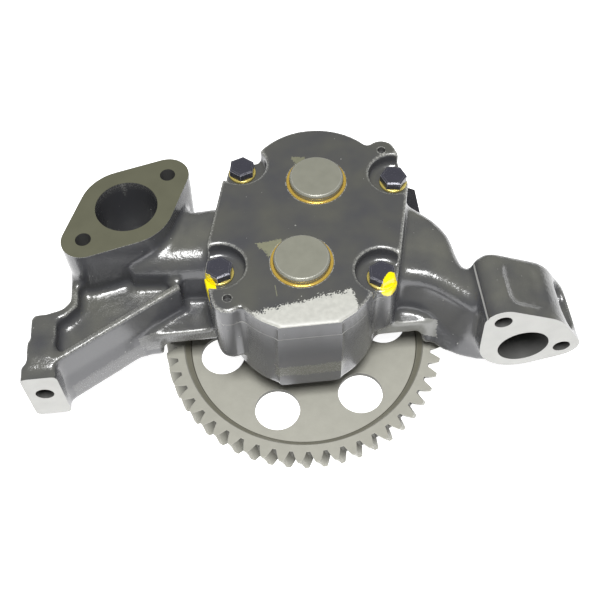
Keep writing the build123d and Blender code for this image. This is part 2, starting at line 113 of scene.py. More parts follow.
def ramp(tree, value, low, high, low_out=0.0, high_out=1.0):
    node = place(tree, "ShaderNodeMapRange", {"Value": value, "From Min": low, "From Max": high,
                                              "To Min": low_out, "To Max": high_out})
    return node.outputs["Result"]


def blend_colour(tree, mask, under, over):
    return place(tree, "ShaderNodeMix", {0: mask, 6: under, 7: over}, data_type="RGBA").outputs[2]


def darkened(colour, share):
    return tuple(c * share for c in colour[:3]) + (1,)


def grain(tree, scale, detail):
    # Noise in metres of the piece's own place
    node = place(tree, "ShaderNodeTexNoise", {"Vector": own_place(tree), "Scale": scale, "Detail": detail})
    return node.outputs["Fac"]


def effect(name, inputs, masks):
    # An empty shader group with its inputs and the masks that it puts out
    tree = bpy.data.node_groups.new(name, "ShaderNodeTree")
    for socket, value in inputs.items():
        kind = "NodeSocketVector" if isinstance(value, tuple) else "NodeSocketFloat"
        tree.interface.new_socket(socket, in_out="INPUT", socket_type=kind).default_value = value
    for socket in masks:
        tree.interface.new_socket(socket, in_out="OUTPUT", socket_type="NodeSocketFloat")
    return tree, tree.nodes.new("NodeGroupInput"), tree.nodes.new("NodeGroupOutput")


def use(tree, group, inputs={}):
    return place(tree, "ShaderNodeGroup", inputs, node_tree=group)


def new_finish(name, roughness, metallic=0.0):
    material = bpy.data.materials.new(name)
    material.use_nodes = True
    shader = material.node_tree.nodes["Principled BSDF"]
    shader.inputs["Roughness"].default_value = roughness
    shader.inputs["Metallic"].default_value = metallic
    return material, shader


def emboss(tree, shader, inputs):
    raised = place(tree, "ShaderNodeBump", inputs)
    tree.links.new(raised.outputs["Normal"], shader.inputs["Normal"])


# A dab of paint: 1 inside a ragged ball round a point, 0 outside
dab, dab_in, dab_out = effect("paint_dab", {"Centre": (0, 0, 0), "Radius": 0.006, "Reach": (1, 1, 1)},
                              ["Mask"])
offset = vector_maths(dab, "SUBTRACT", own_place(dab), dab_in.outputs["Centre"])
far = vector_maths(dab, "LENGTH", vector_maths(dab, "DIVIDE", offset, dab_in.outputs["Reach"]))
ragged = ramp(dab, grain(dab, 320.0, 2.0), 0.3, 0.7, -0.0005, 0.0005)
inside = maths(dab, "SUBTRACT", dab_in.outputs["Radius"], maths(dab, "ADD", far, ragged))
dab.links.new(ramp(dab, inside, 0.0, 0.0003), dab_out.inputs["Mask"])

# One side of a patch (rubbed paint, oil film, painted reflection): 1 past a ragged line through a point, on
# the side that the way points to
border, border_in, border_out = effect(
    "patch_border", {"Point": (0, 0, 0), "Way": (0, 1, 0), "Ragged": 0.001}, ["Mask"])
offset = vector_maths(border, "SUBTRACT", own_place(border), border_in.outputs["Point"])
past = vector_maths(border, "DOT_PRODUCT", offset, border_in.outputs["Way"])
brushed = ramp(border, grain(border, 1000.0, 4.0), 0.3, 0.7, -1.0, 1.0)
strokes = ramp(border, grain(border, 180.0, 1.0), 0.3, 0.7, -0.6, 0.6)
wander = maths(border, "MULTIPLY", maths(border, "ADD", brushed, strokes), border_in.outputs["Ragged"])
border_mask = ramp(border, maths(border, "ADD", past, wander), -0.0001, 0.0002)
border.links.new(border_mask, border_out.inputs["Mask"])

# Sand-cast skin under paint: small lumps with pits, fine speckle, the slow waves of the pattern and chips
skin, skin_in, skin_out = effect("cast_skin", {"Pits": 0.28}, ["Height", "Speckle", "Cloud", "Chips"])
lumps = grain(skin, 260.0, 4.0)
pits = grain(skin, 1100.0, 2.0)
waves = grain(skin, 45.0, 2.0)
height = maths(skin, "ADD", lumps, maths(skin, "MULTIPLY", pits, skin_in.outputs["Pits"]))
skin.links.new(height, skin_out.inputs["Height"])
skin.links.new(ramp(skin, pits, 0.42, 0.68), skin_out.inputs["Speckle"])
skin.links.new(ramp(skin, waves, 0.3, 0.7), skin_out.inputs["Cloud"])
skin.links.new(ramp(skin, grain(skin, 520.0, 0.0), 0.85, 0.89), skin_out.inputs["Chips"])


def dab_mask(tree, centre, radius, reach):
    return use(tree, dab, {"Centre": centre, "Radius": radius, "Reach": reach}).outputs["Mask"]


def patch_mask(tree, borders, strength):
    # A patch inside straight borders, for rubbed paint, oil films and painted reflections
    mask = strength
    for point, way, ragged in borders:
        side = use(tree, border, {"Point": point, "Way": way, "Ragged": ragged}).outputs["Mask"]
        mask = maths(tree, "MULTIPLY", mask, side)
    return mask


def thin_paint_and_highlight_mask(tree, surface, corner_range):
    # Where the paint is thin on the corners, in specks, with a painted highlight along the edges, and gone
    # in small chips
    corner = place(tree, "ShaderNodeAttribute", attribute_name="corner").outputs["Fac"]
    specks = maths(tree, "MULTIPLY", ramp(tree, corner, *corner_range),
                   ramp(tree, surface.outputs["Speckle"], 0, 1, 0.25, 1.0))
    return maths(tree, "MAXIMUM", specks, maths(tree, "MULTIPLY", surface.outputs["Chips"], 0.6))


def seam_mask(tree):
    # The thin line where the cover meets the housing
    here = own_place(tree)
    off = maths(tree, "ABSOLUTE", maths(tree, "SUBTRACT", axis_of(tree, here, "Z"), joint_z))
    across = axis_of(tree, here, "X")
    near_cover = maths(tree, "MULTIPLY", ramp(tree, across, seam_right, seam_right + mm, 0.85, 0.0),
                       ramp(tree, across, seam_left, seam_left + mm))
    return maths(tree, "MULTIPLY", near_cover, ramp(tree, off, 0.25 * mm, 0.5 * mm, 1.0, 0.0))


def painted(name, bump, corner_range, dabs, marks_and_sheen, seam, top_film_and_light):
    # Dark, slightly oily enamel over cast iron, thin on the corners, with witness paint and rubbed places.
    # Lighter tops, highlights on the corners and reflections on some walls are painted light.
    material, shader = new_finish(name, roughness=0.34)
    tree = material.node_tree
    surface = use(tree, skin)
    level = looking_up(tree)
    # Up-facing faces turn lighter and warmer: an oil film, and painted light on the tops against the walls
    top_film_and_light_mask = maths(tree, "MULTIPLY", ramp(tree, level, 0.3, 0.95, 0.1, 1.0),
                  ramp(tree, surface.outputs["Cloud"], 0, 1, 0.15, 0.85))
    colour = blend_colour(tree, top_film_and_light_mask, paint_grey, top_film_and_light)
    strokes = ramp(tree, grain(tree, 330.0, 4.0), 0.35, 0.65, 0.86, 1.0)
    # Patches of rubbed paint and oil, and painted reflections laid on the same way
    patches_and_sheen = 0.0
    for borders, strength, patch_colour in marks_and_sheen:
        patch_and_sheen = maths(tree, "MULTIPLY", patch_mask(tree, borders, strength), strokes)
        colour = blend_colour(tree, patch_and_sheen, colour, patch_colour)
        patches_and_sheen = maths(tree, "MAXIMUM", patches_and_sheen, patch_and_sheen)
    # Corners lighter: the paint is thin there, and a highlight is painted along the edges
    thin_and_highlight = thin_paint_and_highlight_mask(tree, surface, corner_range)
    colour = blend_colour(tree, thin_and_highlight, colour, worn_and_highlight_grey)
    colour = blend_colour(tree, seam_mask(tree), colour, seam)
    paint = 0.0
    for spot in dabs:
        paint = maths(tree, "MAXIMUM", paint, dab_mask(tree, *spot))
    colour = blend_colour(tree, paint, colour, witness_yellow)
    tree.links.new(colour, shader.inputs["Base Color"])
    rough = maths(tree, "ADD", ramp(tree, surface.outputs["Speckle"], 0, 1, 0.21, 0.27),
                  maths(tree, "MULTIPLY", maths(tree, "MAXIMUM", thin_and_highlight, patches_and_sheen), 0.18))
    tree.links.new(rough, shader.inputs["Roughness"])
    shader.inputs["Specular IOR Level"].default_value = 0.85
    cast_height = maths(tree, "MULTIPLY", surface.outputs["Height"], ramp(tree, level, 0.15, 0.5, 0.1, 1.0))
    emboss(tree, shader, {"Height": cast_height, "Distance": bump, "Strength": 1.0})
    return material


def machined(name, colour, roughness, scale, bump):
    # Iron cut bare by a face mill or a drill, with fine tool marks and slight staining
    material, shader = new_finish(name, roughness, metallic=0.5)
    tree = material.node_tree
    stain = ramp(tree, grain(tree, 90.0, 4.0), 0.3, 0.75, 0.0, 0.4)
    tree.links.new(blend_colour(tree, stain, colour, darkened(colour, 0.72)), shader.inputs["Base Color"])
    emboss(tree, shader, {"Height": grain(tree, scale, 2.0), "Distance": bump, "Strength": 0.6})
    return material


def inside_box(low, high, ragged):
    # The borders of a patch between two corners
    sides = []
    for axis in range(3):
        way = Vector([float(axis == i) for i in range(3)])
        sides.append((tuple(low), tuple(way), ragged))
        sides.append((tuple(high), tuple(-way), ragged))
    return sides


def inside_corners(corners, level, ragged):
    # The borders of a patch with these corners, anticlockwise in plan, on faces above a level
    sides = [((0, 0, level * mm), (0, 0, 1), 0.0001)]
    for i, (x, y) in enumerate(corners):
        next_x, next_y = corners[(i + 1) % len(corners)]
        way = Vector((y - next_y, next_x - x, 0)).normalized()
        sides.append(((x * mm, y * mm, 0), tuple(way), ragged[i] * mm))
    return sides


def bar(start, end, radius, sides=72):
    # A closed round bar between two points, ready to be added to a mesh in the making
    start, end = Vector(start), Vector(end)
    turn = (end - start).to_track_quat("Z", "Y").to_matrix().to_4x4()
    turn.translation = (start + end) / 2
    length = (end - start).length
    return lambda shape: bmesh.ops.create_cone(shape, cap_ends=True, segments=sides, radius1=radius,
                                               radius2=radius, depth=length, matrix=turn)


def block(low, high):
    # A closed block between two corners, ready to be added to a mesh in the making
    low, high = Vector(low), Vector(high)

    def add(shape):
        for v in bmesh.ops.create_cube(shape, size=1.0)["verts"]:
            v.co = Vector([(a + b) / 2 + s * (b - a) for s, a, b in zip(v.co, low, high)])
    return add


def add_object(name, data):
    item = bpy.data.objects.new(name, data)
    bpy.context.scene.collection.objects.link(item)
    return item


def show(name, shape):
    # Turns a mesh in the making into an object at the origin
    mesh = bpy.data.meshes.new(name)
    shape.to_mesh(mesh)
    shape.free()
    return add_object(name, mesh)


def bake(piece):
    # Applies the piece's modifiers
    found = piece.evaluated_get(bpy.context.evaluated_depsgraph_get())
    mesh = bpy.data.meshes.new_from_object(found)
    old = piece.data
    piece.modifiers.clear()
    piece.data = mesh
    bpy.data.meshes.remove(old)


def swell(piece, distance, voxel):
    # Moves the skin outwards and meshes it again in even squares
    if distance:
        push = piece.modifiers.new("push", "DISPLACE")
        push.strength = distance
        push.mid_level = 0
    squares = piece.modifiers.new("squares", "REMESH")
    squares.mode = "VOXEL"
    squares.voxel_size = voxel
    bake(piece)


def join_or_cut(piece, operation, other):
    # Joins another closed shape to the piece or cuts it away, and removes that shape
    step = piece.modifiers.new("step", "BOOLEAN")
    step.operation = operation
    step.solver = "MANIFOLD"
    step.object = other
    bake(piece)
    bpy.data.objects.remove(other)


def tool_of(name, cuts):
    # Joins the cutters into one closed tool
    tool = None
    for add in cuts:
        shape = bmesh.new()
        add(shape)
        part = show(name, shape)
        if tool:
            join_or_cut(tool, "UNION", part)
        else:
            tool = part
    return tool


def keep_largest(piece):
    # Drops the closed bubbles that the mesher leaves inside
    shape = bmesh.new()
    shape.from_mesh(piece.data)
    left = set(shape.verts)
    islands = []
    while left:
        front = [left.pop()]
        island = set(front)
        while front:
            v = front.pop()
            for e in v.link_edges:
                other = e.other_vert(v)
                if other in left:
                    left.remove(other)
                    island.add(other)
                    front.append(other)
        islands.append(island)
    islands.sort(key=len)
    for island in islands[:-1]:
        bmesh.ops.delete(shape, geom=list(island), context="VERTS")
    shape.to_mesh(piece.data)
    shape.free()


def cast_and_machine(name, node, voxel, fillet, rounds, plane_moves, plugs, cuts):
    # Pours a soft-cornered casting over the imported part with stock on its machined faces, then cuts them
    shape = bmesh.new()
    shape.from_mesh(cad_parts[node].data)
    bmesh.ops.remove_doubles(shape, verts=shape.verts, dist=0.002 * mm)
    for v in shape.verts:
        for axis, height, move in plane_moves:
            if abs(v.co[axis] - height) < touching:
                v.co[axis] += move
    for add in plugs:
        add(shape)
    piece = show(name, shape)
    swell(piece, 0, voxel)
    swell(piece, fillet, voxel)
    swell(piece, -fillet, voxel)
    soften = piece.modifiers.new("soften", "SMOOTH")
    soften.factor = 0.5
    soften.iterations = rounds
    bake(piece)
    join_or_cut(piece, "DIFFERENCE", tool_of(name + "_tool", cuts))
    keep_largest(piece)
    return piece


def mark_corners(piece):
    # Keeps how sharply the skin turns outwards at each point, for paint that is thin there and a painted
    # highlight
    shape = bmesh.new()
    shape.from_mesh(piece.data)
    shape.normal_update()
    turn = []
    for v in shape.verts:
        steps = [(e.other_vert(v).co - v.co) for e in v.link_edges]
        cut = abs(v.co.z - joint_z) < touching or abs(v.co.y - mount_y) < touching
        turn.append(0 if cut else
                    sum(-v.normal.dot(s) / max(s.length, 1e-9) for s in steps) / max(len(steps), 1))
    shape.verts.index_update()
    smooth = [(turn[v.index] + sum(turn[e.other_vert(v).index] for e in v.link_edges))
              / (1 + len(v.link_edges)) for v in shape.verts]
    shape.free()
    attribute = piece.data.attributes.new("corner", "FLOAT", "POINT")
    attribute.data.foreach_set("value", smooth)


def finish_faces(piece, materials, finish_of):
    # Gives each face its finish by where it lies, and keeps machined borders sharp
    piece.data.materials.clear()
    for material in materials:
        piece.data.materials.append(material)
    for face in piece.data.polygons:
        face.material_index = finish_of(face.center, face.normal)
        face.use_smooth = True
    piece.data.set_sharp_from_angle(angle=math.radians(38))


# Places in plan, heights and radii of the bores, in millimetres
joint, suction_face, mount = joint_z / mm, suction_z / mm, mount_y / mm
drive_place, driven_place = (0, 0), (14.82, 58.14)
chamber_floor, chamber_radius = 39.5, 35.2
drive_seat, driven_seat, seat_radius = (40, 22.5), (27, 41), 18.05
suction_place, suction_floor, suction_radius = (-99, 53), 34.5, 18.5
suction_screws, screw_depth, screw_radius = ((-123.94, 31.09), (-74.06, 74.91)), 66.5, 4.6
valve_x, valve_z, valve_deep, valve_open, valve_radius = 72, 41, 22, 58, 9.02
spot_face_end, spot_face_radius = 98, 14.2
bolt_places = ((-28.87, 77.02), (62.0, 59.0), (-47.0, 2.7), (44.1, -10.7))
bolt_depth, thread_radius = 54, 4.1
dowel_places, dowel_depth, dowel_radius = ((57.3, 78.3), (-43.4, -20.3)), 8, 2.51


def in_mm(point):
    return Vector(point) * mm


def upright(spot, deep, opening, radius, left_on=0):
    # A bore along Z: its deep end, its open end, its radius and the stock left in front of its open end
    return (*spot, deep), (*spot, opening), radius, left_on


def from_front(x, z, deep, radius):
    # The same for a bore that opens in the mounting face
    return (x, deep, z), (x, mount, z), radius, stock


def along_bore(bore, before, after, wider=0.0, sides=72):
    # A bar along a bore that reaches past its deep end and its open end
    deep, opening, radius, _ = bore
    deep, opening = in_mm(deep), in_mm(opening)
    way = (opening - deep).normalized()
    return bar(deep - way * before, opening + way * after, (radius + wider) * mm, sides)


housing_bores = [
    upright(drive_place, chamber_floor, joint, chamber_radius, stock),
    upright(driven_place, chamber_floor, joint, chamber_radius, stock),
    upright(drive_place, *drive_seat, seat_radius),
    upright(driven_place, *driven_seat, seat_radius),
    upright(suction_place, suction_floor, suction_face, suction_radius, stock),
    from_front(125.5, 41.3, deep=-12, radius=15.0),
    from_front(109, 70.1, deep=-20, radius=5.1),
    from_front(149.5, 36.8, deep=-20, radius=5.1),
    from_front(-153.4, 40.2, deep=1, radius=5.2),
    ((valve_x, valve_deep, valve_z), (valve_x, valve_open, valve_z), valve_radius, 0)]
housing_bores += [upright(spot, screw_depth, suction_face, screw_radius, stock) for spot in suction_screws]
housing_bores += [upright(spot, bolt_depth, joint, thread_radius, stock) for spot in bolt_places]
housing_bores += [upright(spot, joint - dowel_depth, joint, dowel_radius, stock) for spot in dowel_places]

# The oil's way from the suction bore past the pump gears to the pressure bore, and the radius of each run
oil_way = ((-99, 47, 52.5), (7.41, 29.07, 52.5), (70, 11, 49), (98, -14, 45), (125.5, -20, 41.3))
oil_radii = (12.5, 9.5, 9.5, 9.5)

# What the mills clear in front of the mounting face, the joint face and the suction face
front_mill = block((-0.3, mount_y - 0.05, -0.1), (0.3, mount_y, 0.2))
joint_mill = block((-0.060, mount_y - 0.02, joint_z), (0.100, 0.12, joint_z + 0.03))
suction_mill = block((-0.16, 0.0, suction_z), (-0.05, 0.12, suction_z + 0.03))
spot_face = bar(in_mm((valve_x, valve_open, valve_z)), in_mm((valve_x, spot_face_end, valve_z)),
                spot_face_radius * mm, sides=96)
housing_cuts = [front_mill, joint_mill, suction_mill, spot_face]
housing_cuts += [along_bore(bore, 0, 3 * stock, sides=96) for bore in housing_bores]
housing_cuts += [bar(in_mm(start), in_mm(end), radius * mm)
                 for start, end, radius in zip(oil_way, oil_way[1:], oil_radii)]

housing = cast_and_machine(
    "housing_casting", "pump_housing", voxel=1.2 * mm, fillet=2.4 * mm, rounds=3,
    plane_moves=[(2, joint_z, stock), (2, suction_z, stock), (1, mount_y, -stock)],
    plugs=[along_bore(bore, mm, bore[3], wider=0.5) for bore in housing_bores], cuts=housing_cuts)
mark_corners(housing)

near, bore_near = 0.05 * mm, 0.2 * mm


def housing_finish(centre, normal):
    # 0 is paint, 1 a milled face, 2 the suction face and 3 a bored wall. The suction bore's wall is painted
    if normal.y < -0.99 and abs(centre.y - mount_y) < near and abs(centre.x) > 0.07:
        return 1
    if normal.z > 0.99 and abs(centre.z - suction_z) < near:
        return 2
    if normal.z > 0.99 and abs(centre.z - joint_z) < near:
        return 1
    for deep, opening, radius, _ in housing_bores:
        if radius == suction_radius:
            continue
        deep, opening = in_mm(deep), in_mm(opening)
        way = (opening - deep).normalized()
        along = (centre - deep).dot(way)
        across = (centre - deep - way * along).length
        if -near < along < (opening - deep).length + near and abs(across - radius * mm) < bore_near:
            return 3
    return 0


# Each dab of paint: its middle, its radius and how far it reaches along X, Y and Z
left_dab = ((-0.0553, -0.0066, 0.0800), 0.0063, (0.9, 1.2, 1.5))
left_drip = ((-0.0530, -0.0075, 0.0705), 0.0013, (0.9, 4.0, 4.6))
right_dab = ((0.0486, -0.0185, 0.0815), 0.0064, (0.98, 1.25, 1.3))
casting_dabs = [left_dab, left_drip, right_dab]

# Lighter strips on the lower walls and the ledge: painted reflection of the white table, with some rubbed
# paint
left_strip_reflection_and_wear = inside_box((-0.100, -0.0100, 0.0240), (-0.046, -0.0050, 0.0362), 0.0004)
right_strip_reflection_and_wear = inside_box((0.044, -0.0220, 0.0240), (0.080, -0.0135, 0.0362), 0.0006)
ledge_reflection_and_wear = inside_box((-0.140, -0.045, 0.0160), (-0.098, -0.006, 0.0315), 0.0009)
# A tan band at the foot of the front wall: painted reflection of the gear below
wall_gear_reflection = inside_box((-0.020, -0.045, 0.0330), (0.021, -0.030, 0.0440), 0.0016)
housing_paint = painted(
    "housing_paint", bump=0.00033, corner_range=(0.070, 0.155), dabs=casting_dabs,
    marks_and_sheen=[(left_strip_reflection_and_wear, 0.22, worn_and_highlight_grey), (right_strip_reflection_and_wear, 0.45, worn_and_highlight_grey), (ledge_reflection_and_wear, 0.12, worn_and_highlight_grey),
          (wall_gear_reflection, 0.22, oil_and_reflection_tan)], seam=housing_seam, top_film_and_light=housing_top_film_and_light)
milled_face = machined("milled_face", bare_iron, roughness=0.42, scale=700.0, bump=0.00003)
port_face = machined("port_face", port_iron, roughness=0.46, scale=260.0, bump=0.00005)
bored_iron = machined("bored_iron", bore_iron, roughness=0.34, scale=900.0, bump=0.00003)
finish_faces(housing, [housing_paint, milled_face, port_face, bored_iron], housing_finish)
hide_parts("pump_housing")
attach(housing, "housing")

# Cover plate
# A flat casting that closes both gear chambers, with a round pocket at each bolt. It is poured and painted
# like the housing, and milled underneath and along its front.

# Heights of the cover's faces and levels that its rubbed patches lie above, in millimetres
cover_top, pocket_floor, bolt_hole_radius = 88.1, 79.1, 4.4
edge_level, film_level = 86.6, 87.5
# Up-facing faces of the cover: an oil film, and painted light that makes the top lighter
cover_top_film_and_light = (0.088, 0.088, 0.074, 1)
cover_seam = (0.22, 0.22, 0.21, 1)
patch_iron = (0.48, 0.48, 0.44, 1)

cover_bores = [upright(spot, joint, cover_top, seat_radius) for spot in (drive_place, driven_place)]
cover_bores += [upright(spot, joint, pocket_floor, bolt_hole_radius) for spot in bolt_places]
cover_bores += [upright(spot, joint, cover_top, dowel_radius) for spot in dowel_places]

# What the mills clear in front of the cover and under it, and then the drills
cover_cuts = [block((-0.3, mount_y - 0.05, 0.0), (0.3, mount_y, 0.2)),
              block((-0.2, -0.2, joint_z - 0.03), (0.2, 0.2, joint_z))]
cover_cuts += [along_bore(bore, 2 * stock, 20 * mm, sides=96) for bore in cover_bores]
cover = cast_and_machine(
    "cover_casting", "cover_plate", voxel=0.9 * mm, fillet=1.4 * mm, rounds=2,
    plane_moves=[(2, joint_z, -stock), (1, mount_y, -stock)],
    plugs=[along_bore(bore, stock, 0, wider=0.5) for bore in cover_bores], cuts=cover_cuts)
mark_corners(cover)


def cover_finish(centre, normal):
    # 0 is paint and 1 a bored wall
    for deep, _, radius, _ in cover_bores:
        across = (centre - in_mm(deep)).xy.length
        if abs(across - radius * mm) < bore_near and abs(normal.z) < 0.1:
            return 1
    return 0


bare_patch = inside_corners([(-30, -32), (-22, -46), (22, -46), (27.5, -34), (26.5, -26), (24.5, -22.3),
                             (14, -23.2)], edge_level, (0.3, 0.3, 0.3, 0.8, 1.4, 2.4, 2.4))
lower_film = inside_corners([(-24.5, 15.6), (-18.7, 5.0), (-10, 10), (-10, 17.4)], film_level,
                            (1.1, 0.5, 0.2, 0.6))
upper_film = inside_corners([(1.5, 79), (5, 71), (10, 74), (10, 78.3)], film_level, (0.9, 0.2, 0.2, 0.6))
scratch = inside_corners([(-16.8, -14.4), (-16.3, -22), (-15.8, -22), (-16.2, -14.4)], film_level,
                         (0.1, 0.1, 0.1, 0.1))
cover_paint = painted(
    "cover_paint", bump=0.00010, corner_range=(0.045, 0.115), dabs=casting_dabs,
    marks_and_sheen=[(bare_patch, 0.97, patch_iron), (lower_film, 0.8, oil_and_reflection_tan), (upper_film, 0.65, oil_and_reflection_tan),
          (scratch, 0.7, oil_and_reflection_tan)], seam=cover_seam, top_film_and_light=cover_top_film_and_light)
finish_faces(cover, [cover_paint, bored_iron], cover_finish)
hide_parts("cover_plate")
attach(cover, "housing")

# Bushes
# Plain bronze rings pressed into the cover and the housing. Each stands a little proud of the cover, with a
# bright golden highlight painted along its edge.

# Edges of the metal parts: a mask for their wear and for a highlight painted along them
edge, edge_in, edge_out = effect("edge_wear_and_highlight", {"Radius": 0.0006}, ["Mask"])
rounded = place(edge, "ShaderNodeBevel", {"Radius": edge_in.outputs["Radius"]}, samples=6)
flat = place(edge, "ShaderNodeNewGeometry").outputs["Normal"]
meet = vector_maths(edge, "DOT_PRODUCT", rounded.outputs["Normal"], flat)
edge.links.new(ramp(edge, meet, 1.0, 0.85), edge_out.inputs["Mask"])


def metal(name, colour, edge_wear_and_highlight_colour, roughness, metallic, scale, bump, edge_radius=0.0006, stain=0.3,
          dabs=(), bands_and_shade=None):
    # A turned, forged or plated metal, lighter at its edges from wear and a painted highlight, with bands
    # and painted shade that only one piece wears
    material, shader = new_finish(name, roughness, metallic)
    tree = material.node_tree
    patches = ramp(tree, grain(tree, 140.0, 4.0), 0.3, 0.75, 0.0, stain)
    marks_and_sheen = use(tree, edge, {"Radius": edge_radius}).outputs["Mask"]
    base = blend_colour(tree, patches, colour, darkened(colour, 0.62))
    # Edges lighter: wear, and a painted highlight
    base = blend_colour(tree, marks_and_sheen, base, edge_wear_and_highlight_colour)
    if bands_and_shade:
        base = bands_and_shade(tree, base)
    for spot in dabs:
        mask = dab_mask(tree, *spot)
        base = blend_colour(tree, mask, base, witness_yellow)
        dull = maths(tree, "SUBTRACT", metallic, maths(tree, "MULTIPLY", mask, metallic))
        tree.links.new(dull, shader.inputs["Metallic"])
    tree.links.new(base, shader.inputs["Base Color"])
    marks = grain(tree, scale, 3.0)
    tree.links.new(ramp(tree, marks, 0.3, 0.7, roughness - 0.06, roughness + 0.08),
                   shader.inputs["Roughness"])
    soft = place(tree, "ShaderNodeBevel", {"Radius": edge_radius}, samples=6)
    emboss(tree, shader, {"Height": marks, "Distance": bump, "Strength": 0.6,
                          "Normal": soft.outputs["Normal"]})
    return material


def dress(node, material):
    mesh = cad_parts[node].data
    mesh.materials.clear()
    mesh.materials.append(material)


def pattern(name, sizes):
    # An empty Geometry Nodes tree that puts one piece on each point it is given
    tree = bpy.data.node_groups.new(name, "GeometryNodeTree")
    tree.interface.new_socket("Places", in_out="INPUT", socket_type="NodeSocketGeometry")
    tree.interface.new_socket("Finish", in_out="INPUT", socket_type="NodeSocketMaterial")
    for size in sizes:
        tree.interface.new_socket(size, in_out="INPUT", socket_type="NodeSocketFloat")
    tree.interface.new_socket("Pieces", in_out="OUTPUT", socket_type="NodeSocketGeometry")
    return tree, tree.nodes.new("NodeGroupInput"), tree.nodes.new("NodeGroupOutput")


def set_out(tree, tree_in, tree_out, piece):
    # Puts the piece on every point, turned as the point says, and gives it the finish
    turn = place(tree, "GeometryNodeInputNamedAttribute", {"Name": "turn"}, data_type="FLOAT")
    spin = place(tree, "ShaderNodeCombineXYZ", {"Z": turn.outputs["Attribute"]})
    placed = place(tree, "GeometryNodeInstanceOnPoints", {
        "Points": tree_in.outputs["Places"], "Instance": piece, "Rotation": spin.outputs["Vector"]})
    solid = place(tree, "GeometryNodeRealizeInstances", {"Geometry": placed.outputs["Instances"]})
    dressed = place(tree, "GeometryNodeSetMaterial", {
        "Geometry": solid.outputs["Geometry"], "Material": tree_in.outputs["Finish"]})
    tree.links.new(dressed.outputs["Geometry"], tree_out.inputs["Pieces"])


def repeat(name, tree, places, turns, level, finish, sizes):
    # Runs a tree over some places in plan and keeps its result as a plain mesh
    mesh = bpy.data.meshes.new(name)
    mesh.from_pydata([(x * mm, y * mm, level) for x, y in places], [], [])
    turned = mesh.attributes.new("turn", "FLOAT", "POINT")
    turned.data.foreach_set("value", [math.radians(turn) for turn in turns])
    piece = add_object(name, mesh)
    nodes = piece.modifiers.new("nodes", "NODES")
    nodes.node_group = tree
    for socket in tree.interface.items_tree:
        if socket.in_out == "INPUT" and socket.name in sizes:
            nodes[socket.identifier] = sizes[socket.name]
        if socket.name == "Finish":
            nodes[socket.identifier] = finish
    bake(piece)
    for face in piece.data.polygons:
        face.use_smooth = True
    piece.data.set_sharp_from_angle(angle=math.radians(15))
    return piece


ring_tree, ring_in, ring_out = pattern("rounded_ring", ("Middle Radius", "Width", "Height", "Corner"))
path = place(ring_tree, "GeometryNodeCurvePrimitiveCircle", {
    "Resolution": 120, "Radius": ring_in.outputs["Middle Radius"]})
section = place(ring_tree, "GeometryNodeCurvePrimitiveQuadrilateral", {
    "Width": ring_in.outputs["Width"], "Height": ring_in.outputs["Height"]})
softened = place(ring_tree, "GeometryNodeFilletCurve", {
    "Curve": section.outputs["Curve"], "Radius": ring_in.outputs["Corner"], "Count": 5}, mode="POLY")
swept = place(ring_tree, "GeometryNodeCurveToMesh", {
    "Curve": path.outputs["Curve"], "Profile Curve": softened.outputs["Curve"]})
set_out(ring_tree, ring_in, ring_out, swept.outputs["Mesh"])

bush_low, bush_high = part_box("drive_bush_cover")
bush_outer, bush_inner = (bush_high.x - bush_low.x) / 2, 16.03 * mm
# Its light golden edge colour is a painted highlight
bronze = metal("bush_bronze", (0.62, 0.42, 0.08, 1), (0.98, 0.80, 0.30, 1), roughness=0.22, metallic=0.5,
               scale=1500.0, bump=0.000004, edge_radius=0.0005, stain=0.15)
bushes = repeat("cover_bush_set", ring_tree, (drive_place, driven_place), turns=(0, 0),
                level=(bush_low.z + bush_high.z) / 2, finish=bronze, sizes={
                    "Middle Radius": (bush_outer + bush_inner) / 2, "Width": bush_outer - bush_inner,
                    "Height": bush_high.z - bush_low.z, "Corner": 0.75 * mm})
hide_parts("drive_bush_cover", "driven_bush_cover")
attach(bushes, "housing")
for node in ("drive_bush_housing", "driven_bush_housing"):
    dress(node, bronze)

# Shafts, pump gears and keys
# Two ground steel shafts in the bushes. The pump gears are keyed to them and turn together inside the
# housing, and only the shafts' ends stand out of the cover.

# The shafts' lighter edge colour is a painted highlight
ground = metal("shaft_steel", (0.275, 0.275, 0.225, 1), (0.50, 0.50, 0.47, 1), roughness=0.34, metallic=0.3,
               scale=2200.0, bump=0.00001, edge_radius=0.0011)
for node in ("drive_shaft", "driven_shaft"):
    dress(node, ground)
tooth_steel = metal("pump_gear_steel", (0.40, 0.40, 0.40, 1), (0.58, 0.58, 0.57, 1), roughness=0.3,
                    metallic=0.9, scale=1500.0, bump=0.00001)
for node in ("drive_pump_gear", "driven_pump_gear"):
    dress(node, tooth_steel)
key_steel = metal("key_steel", (0.48, 0.47, 0.45, 1), (0.6, 0.6, 0.58, 1), roughness=0.35, metallic=0.9,
                  scale=1800.0, bump=0.00001)
for node in ("drive_pump_key", "driven_pump_key", "drive_gear_key"):
    dress(node, key_steel)

# Drive gear with its nut and tab washer
# A wide, thin steel gear with slanted teeth and six lightening holes, phosphated to a dull warm grey. A nut
# and a tab washer hold it on the shaft's keyed seat.

gear_grey = (0.33, 0.325, 0.28, 1)
# A thin dark ring of painted shade at the groove's inner edge, then a darker olive band
groove_shade_and_band = ((71.3 * mm, 72.0 * mm, (0.085, 0.08, 0.05, 1)),
              (72.3 * mm, 75.0 * mm, (0.255, 0.245, 0.185, 1)))
root_radius, tip_radius = 80.5 * mm, 88.0 * mm


